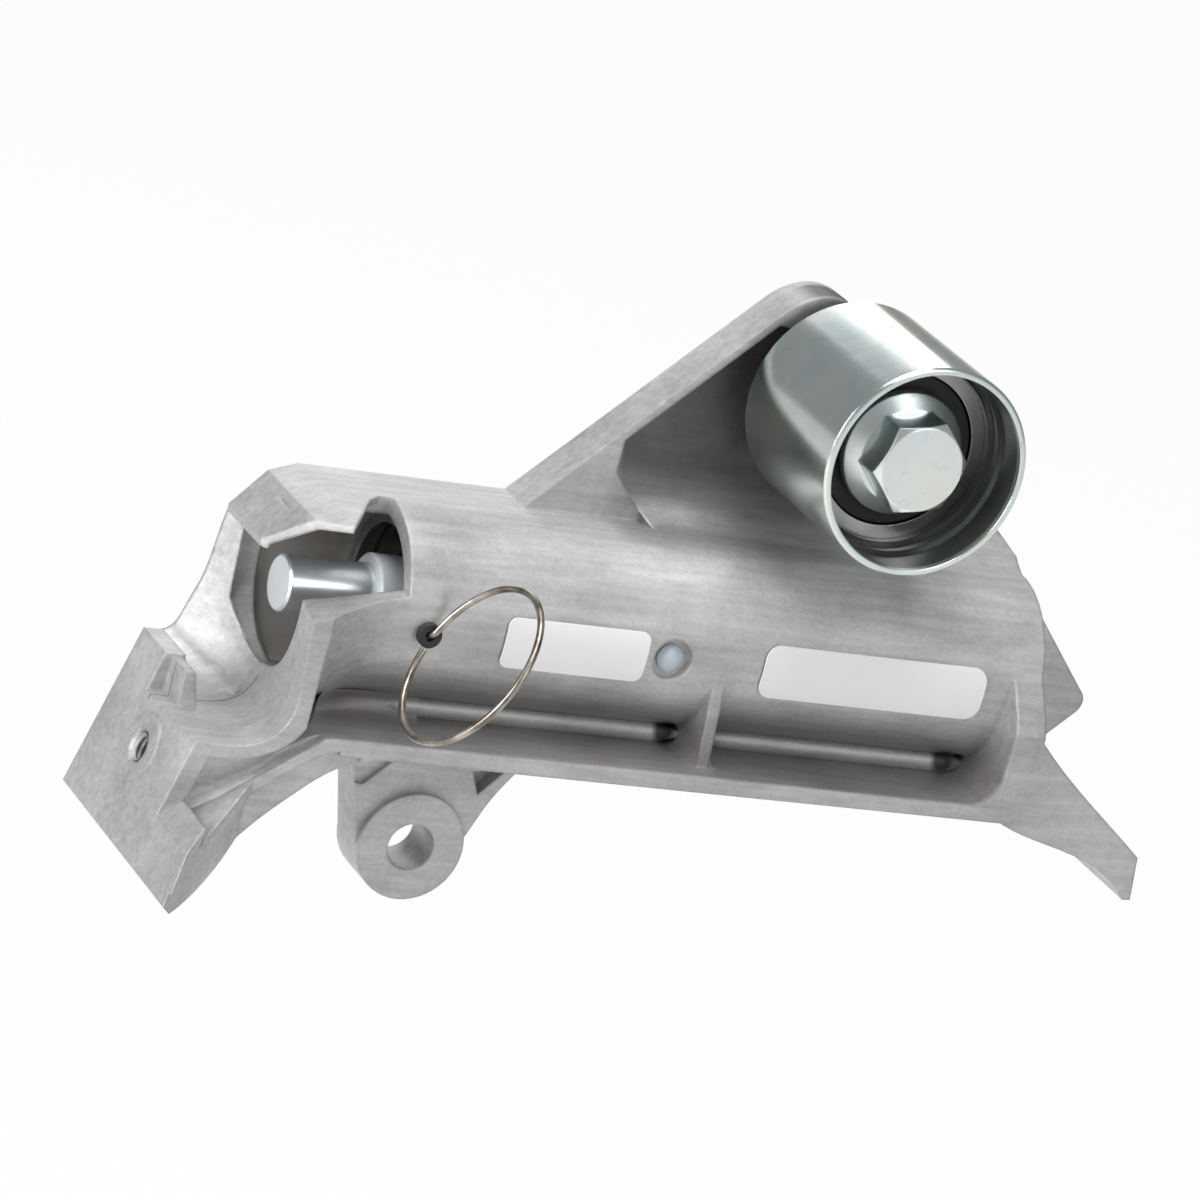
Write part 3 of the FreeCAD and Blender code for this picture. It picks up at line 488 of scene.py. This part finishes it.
def mesh_object(name, points, faces, material=None):
    """Object at the origin with a mesh of those points and faces."""
    mesh = bpy.data.meshes.new(name)
    mesh.from_pydata(points.tolist(), [], faces)
    if material:
        mesh.materials.append(material)
    made = bpy.data.objects.new(name, mesh)
    bpy.context.scene.collection.objects.link(made)
    return made


def screw_thread(name, material, start, along, length, radius, crest, pitch):
    """Ridge wound round an axis: a three-point tooth from radius to crest, carried along a helix.

    A point is start + along * (turns * pitch + offset) + radial(turns) * tooth, where radial turns once
    round the axis for each turn, and offset and tooth run over the tooth's three corners. The tooth
    sinks into the root surface at both ends of the helix.
    """
    steps = max(int(length / pitch * 40), 8)
    turns = np.linspace(0.0, length / pitch, steps)
    forward = np.array(Vector(along).normalized())
    side = np.array(Vector(along).orthogonal().normalized())
    other = np.cross(forward, side)
    taper = np.clip(np.minimum(turns, turns[-1] - turns) / 0.5, 0.0, 1.0)
    offset = np.array([-0.44, 0.0, 0.44]) * pitch
    sunk = radius - 0.05 * (crest - radius)
    tooth = np.stack([np.full(steps, sunk), sunk + (crest - sunk) * taper, np.full(steps, sunk)], axis=1)
    angle = 2 * np.pi * turns
    radial = np.cos(angle)[:, None] * side + np.sin(angle)[:, None] * other
    centre = np.array(start) + forward * (turns[:, None, None] * pitch + offset[None, :, None])
    points = centre + radial[:, None, :] * tooth[:, :, None]
    faces = grid_faces(steps, 3, flip=crest > radius)
    ridge = mesh_object(name, points.reshape(-1, 3), faces.tolist(), material)
    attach(ridge, "housing")


def smooth_net(net, rows, columns):
    """Grid of a smooth surface through a net of points, by Catmull-Rom curves in both directions.

    Between points b and c, with a before and d after, a curve's point at share t is half of
    2b + (c - a) t + (2a - 5b + 4c - d) t^2 + (3b - a - 3c + d) t^3.
    """
    net = np.asarray(net, float)
    for axis, count in ((0, rows), (1, columns)):
        net = np.moveaxis(net, axis, 0)
        ends = np.concatenate([2 * net[:1] - net[1:2], net, 2 * net[-1:] - net[-2:-1]])
        spot = np.linspace(0, len(net) - 1, count)
        low = np.minimum(spot.astype(int), len(net) - 2)
        t = (spot - low)[:, None, None]
        a, b, c, d = ends[low], ends[low + 1], ends[low + 2], ends[low + 3]
        square, cube = 2 * a - 5 * b + 4 * c - d, 3 * b - a - 3 * c + d
        net = 0.5 * (2 * b + (c - a) * t + square * t ** 2 + cube * t ** 3)
        net = np.moveaxis(net, 0, axis)
    return net


def skin(name, grid, material, flip=False, smooth=True):
    """Surface over a grid of points on the casting."""
    faces = grid_faces(*grid.shape[:2], flip=flip)
    piece = mesh_object(name, from_cylinder(grid.reshape(-1, 3)), faces.tolist(), material)
    piece.data.polygons.foreach_set("use_smooth", [smooth] * len(faces))
    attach(piece, "housing")


def spread(x, y, z):
    """Grid of points from three coordinates that are broadcast against each other."""
    return np.stack(np.broadcast_arrays(x, y, z), axis=-1)


def lip_valley():
    """Shallow valley between the bell mouth's lower edge and the lip, running out into the trough.

    Its net has a row for each place along the lip, from the pad to the trough, and in each row four
    points: under the bell mouth's edge, two in the valley's bottom, and on the lip.
    """
    net = [
        [(-16.0, -22.8, -23.2), (-16.7, -22.0, -26.6), (-17.6, -21.2, -31.0), (-18.6, -22.6, -34.9)],
        [(-9.0, -22.9, -22.7), (-9.7, -21.8, -24.8), (-10.7, -21.0, -28.0), (-11.8, -22.6, -30.7)],
        [(-3.5, -22.9, -20.8), (-3.9, -21.4, -22.2), (-4.5, -20.8, -24.4), (-5.0, -22.4, -26.0)],
        [(1.1, -22.8, -16.2), (1.0, -20.2, -17.8), (0.9, -19.4, -20.0), (0.8, -21.8, -21.6)],
        [(5.0, -16.4, -12.6), (5.0, -13.8, -15.6), (5.0, -14.8, -17.8), (5.0, -21.0, -18.4)],
        [(10.0, -13.4, -12.6), (10.0, -11.2, -15.2), (10.0, -12.4, -17.6), (10.0, -19.0, -18.1)],
        [(17.0, -10.6, -13.4), (17.0, -9.8, -15.4), (17.0, -11.6, -17.6), (17.0, -17.0, -18.1)],
        [(26.0, -9.6, -14.1), (26.0, -9.2, -15.8), (26.0, -11.2, -17.9), (26.0, -14.0, -18.1)],
    ]
    skin("lip_valley", smooth_net(net, 84, 28), casting)


def trough_rail(name, low, high):
    """Rounded step along the trough's root, from low to high along the cylinder.

    At an angle over the half-round, y = place - size * cos and z = place + size * sin, where size is
    the rail's radius and shrinks to about a third of it at both ends.
    """
    x = np.linspace(low, high, 40)
    turn = np.radians(np.linspace(-70, 150, 14))
    size = RAIL_R * np.clip(np.minimum(x - low, high - x + 2.0) / 6.0, 0.35, 1.0)
    y = RAIL_PLACE[0] - size[:, None] * np.cos(turn)
    z = RAIL_PLACE[1] + size[:, None] * np.sin(turn)
    # The rail takes the casting with little painted shade, so it stays light in the dark trough
    skin(name, spread(x[:, None], y, z), less_shaded_casting, flip=True)


def corner_fillet(name, corner_x, side, radius, front, back):
    """Concave fillet on the trough's floor against an upright wall, with its front closed.

    Along the arc, x = corner - side * radius * (1 - sin) and z = floor + radius * (1 - cos) of an angle
    from 0 to 90 degrees; the front fans from the corner to the arc.
    """
    turn = np.linspace(0, np.pi / 2, 14)
    x = corner_x - side * radius * (1 - np.sin(turn))
    z = LIP_TOP_Z + radius * (1 - np.cos(turn))
    y = np.linspace(front, back, 12)
    skin(name, spread(x[:, None], y[None, :], z[:, None]), casting, flip=side < 0)
    corner = np.broadcast_to((corner_x + side * 0.2, front, LIP_TOP_Z - 0.2), (len(x), 3))
    fan = np.stack([spread(x, front, z), corner], axis=1)
    skin(name + "_front", fan, casting, flip=side > 0, smooth=False)


def mouth_collar():
    """Edge of the bell mouth's wall round the bore, from the wall inwards to a blunt end.

    At an angle round the bore's axis, the wall starts at x = -curve * (bore * cos / half width) ** 2 on
    the upper side and at 0 on the lower; the collar's radius falls from the bore's to a little less at
    its end, and the end turns back out to the bore.
    """
    turn = np.radians(np.linspace(-96, 62, 60))
    share = np.linspace(0, 1, 10)
    bulge = MOUTH_CURVE * (BORE_R * np.cos(turn) / MOUTH_HALF_WIDTH) ** 2
    wall = np.where(np.cos(turn) > 0, -bulge, 0.0)
    fade = np.clip((turn - turn[0]) / 0.35, 0.02, 1) * np.clip((turn[-1] - turn) / 0.25, 0.02, 1)
    x = wall[:, None] + (COLLAR_END_X - wall[:, None]) * share
    r = COLLAR_R - 0.75 * fade[:, None] * share ** 1.5
    column = np.ones((len(turn), 1))
    x = np.concatenate([x, COLLAR_END_X * column, (COLLAR_END_X + 0.1) * column], axis=1)
    r = np.concatenate([r, r[:, -1:] + 0.3 * (COLLAR_R - r[:, -1:]), COLLAR_R * column], axis=1)
    grid = spread(x, r * np.cos(turn)[:, None], r * np.sin(turn)[:, None])
    skin("mouth_collar", grid, casting, flip=True)


def roof_patch():
    """Small flat patch just under the roof's slanted facet, where the bore comes through it.

    The facet is the plane z = 8.6 + 1.222 * (x + 6.8), and the patch lies 0.1 mm inside it.
    """
    x = np.linspace(-3.6, -1.5, 4)
    y = np.linspace(-4.5, 4.5, 6)
    z = 8.6 + 1.222 * (x + 6.8)
    skin("roof_patch", spread(x[:, None] + 0.09, y[None, :], z[:, None] - 0.07), casting)


def hidden_cutter(name, outline, y_low, y_high):
    """Prism that takes a share of the casting away but isn't rendered.

    It stands on an outline in x and z, and reaches from one depth to the other.
    """
    count = len(outline)
    corners = [(x, y, z) for y in (y_low, y_high) for x, z in outline]
    faces = [tuple(range(count)), tuple(reversed(range(count, 2 * count)))]
    faces += [(i, i + count, (i + 1) % count + count, (i + 1) % count) for i in range(count)]
    cutter = mesh_object(name, from_cylinder(corners), faces)
    shape = bmesh.new()
    shape.from_mesh(cutter.data)
    bmesh.ops.recalc_face_normals(shape, faces=shape.faces)
    shape.to_mesh(cutter.data)
    shape.free()
    cutter.hide_render = True
    cutter.hide_viewport = True
    return cutter


def trim_casting():
    """Opens the trough's left end and thins the lip's inner edge in front, then evens the shading."""
    trough_end = [(15.5, -17.98), (20.4, -17.98), (20.4, -14.0), (15.5, -14.0)]
    lip_edge = [(-17.2, -31.0), (-11.0, -27.3), (-4.5, -23.2), (1.2, -19.4), (4.8, -18.0),
                (4.4, -18.7), (1.0, -21.2), (-4.8, -25.6), (-11.6, -30.4), (-18.2, -34.4)]
    cutters = [hidden_cutter("trough_end_cut", trough_end, -26.0, -8.0),
               hidden_cutter("lip_edge_cut", lip_edge, -60.0, -20.5)]
    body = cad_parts["housing"]
    weld = body.modifiers.new("weld", "WELD")
    weld.merge_threshold = 0.000002
    for cutter in cutters:
        cut = body.modifiers.new(cutter.name, "BOOLEAN")
        cut.operation = "DIFFERENCE"
        cut.solver = "EXACT"
        cut.object = cutter
    split = body.modifiers.new("split", "EDGE_SPLIT")
    split.split_angle = math.radians(24)
    even = body.modifiers.new("even", "WEIGHTED_NORMAL")
    even.weight = 60


trim_casting()
roof_patch()
lip_valley()
trough_rail("trough_rail_1", RAIL_START_X, RIB_X)
trough_rail("trough_rail_2", RIB_X + RIB_WIDTH, END_WALL_X)
corner_fillet("end_wall_fillet", END_WALL_X, 1, 5.5, FRONT_Y + 0.02, -4.0)
corner_fillet("rib_left_fillet", RIB_X, 1, 2.2, -18.4, -9.0)
corner_fillet("rib_right_fillet", RIB_X + RIB_WIDTH, -1, 2.2, -18.4, -9.0)
mouth_collar()
screw_thread("bolt_thread", bolt_zinc,
             (ROLLER_AXIS[0], BOLT_THREAD_FROM, ROLLER_AXIS[1]), (0, 1, 0),
             BOLT_THREAD_TO - BOLT_THREAD_FROM, BOLT_THREAD_R, BOLT_THREAD_CREST, BOLT_THREAD_PITCH)
screw_thread("pad_thread_ridge", casting, PAD_HOLE_MOUTH, PAD_HOLE_INWARD,
             PAD_THREAD_LENGTH, PAD_THREAD_R, PAD_THREAD_CREST, PAD_THREAD_PITCH)


def soft_light(name, place, width, height, watts):
    """Rectangular lamp at a place, turned to the part's middle."""
    lamp = bpy.data.lights.new(name, "AREA")
    lamp.shape = "RECTANGLE"
    lamp.size = width
    lamp.size_y = height
    lamp.energy = watts
    holder = bpy.data.objects.new(name, lamp)
    holder.location = place
    aim = Vector(LIGHTS_AIM) - Vector(place)
    holder.rotation_euler = aim.to_track_quat("-Z", "Y").to_euler()
    bpy.context.scene.collection.objects.link(holder)


def studio_floor():
    """Pale floor well below the part: white to the camera apart from the part's faint shadow."""
    made = Finish("studio_floor", Roughness=0.9)
    tone = made.noise(3.0, 2.0, 0.5)
    made.feed("Base Color", made.blend(tone, grey(0.80), grey(0.84)))
    camera, glossy, clear = made.rays()
    lit = Value(made, made.shader.outputs[0])
    glow = made.add("ShaderNodeEmission", {}, {"Color": WHITE, "Strength": 1.0})
    made.surface(0.96 * camera + 0.45 * glossy + 0.96 * clear, lit, glow, "Material Output")
    side = np.linspace(-FLOOR_HALF, FLOOR_HALF, 7)
    points = spread(side[:, None], side[None, :], FLOOR_Z).reshape(-1, 3)
    faces = grid_faces(len(side), len(side))
    floor = mesh_object("studio_floor", points, faces.tolist(), made.material)


def studio_world():
    """Even grey room that the camera sees as white."""
    world = bpy.data.worlds.new("studio")
    world.use_nodes = True
    bpy.context.scene.world = world
    made = Nodes(world.node_tree)
    camera, glossy, clear = made.rays()
    room = made.add("ShaderNodeBackground", {}, {"Color": ROOM_GREY, "Strength": ROOM_STRENGTH})
    white = made.add("ShaderNodeBackground", {}, {"Color": WHITE, "Strength": 1.0})
    made.surface(camera + 0.05 * glossy + clear, room, white, "World Output")


def studio_camera():
    """Camera at the photo's place and angle."""
    data = bpy.data.cameras.new("camera")
    data.lens = LENS_MM
    data.sensor_width = SENSOR_MM
    data.clip_start = CAMERA_NEAR
    data.clip_end = CAMERA_FAR
    camera = bpy.data.objects.new("camera", data)
    turn = Matrix((CAMERA_RIGHT, CAMERA_UP, CAMERA_BACK)).transposed().to_4x4()
    camera.matrix_world = Matrix.Translation(CAMERA_PLACE) @ turn
    bpy.context.scene.collection.objects.link(camera)
    bpy.context.scene.camera = camera


studio_floor()
studio_world()
studio_camera()
for softbox in LIGHTS:
    soft_light(*softbox)

bpy.context.scene.view_settings.view_transform = "Standard"
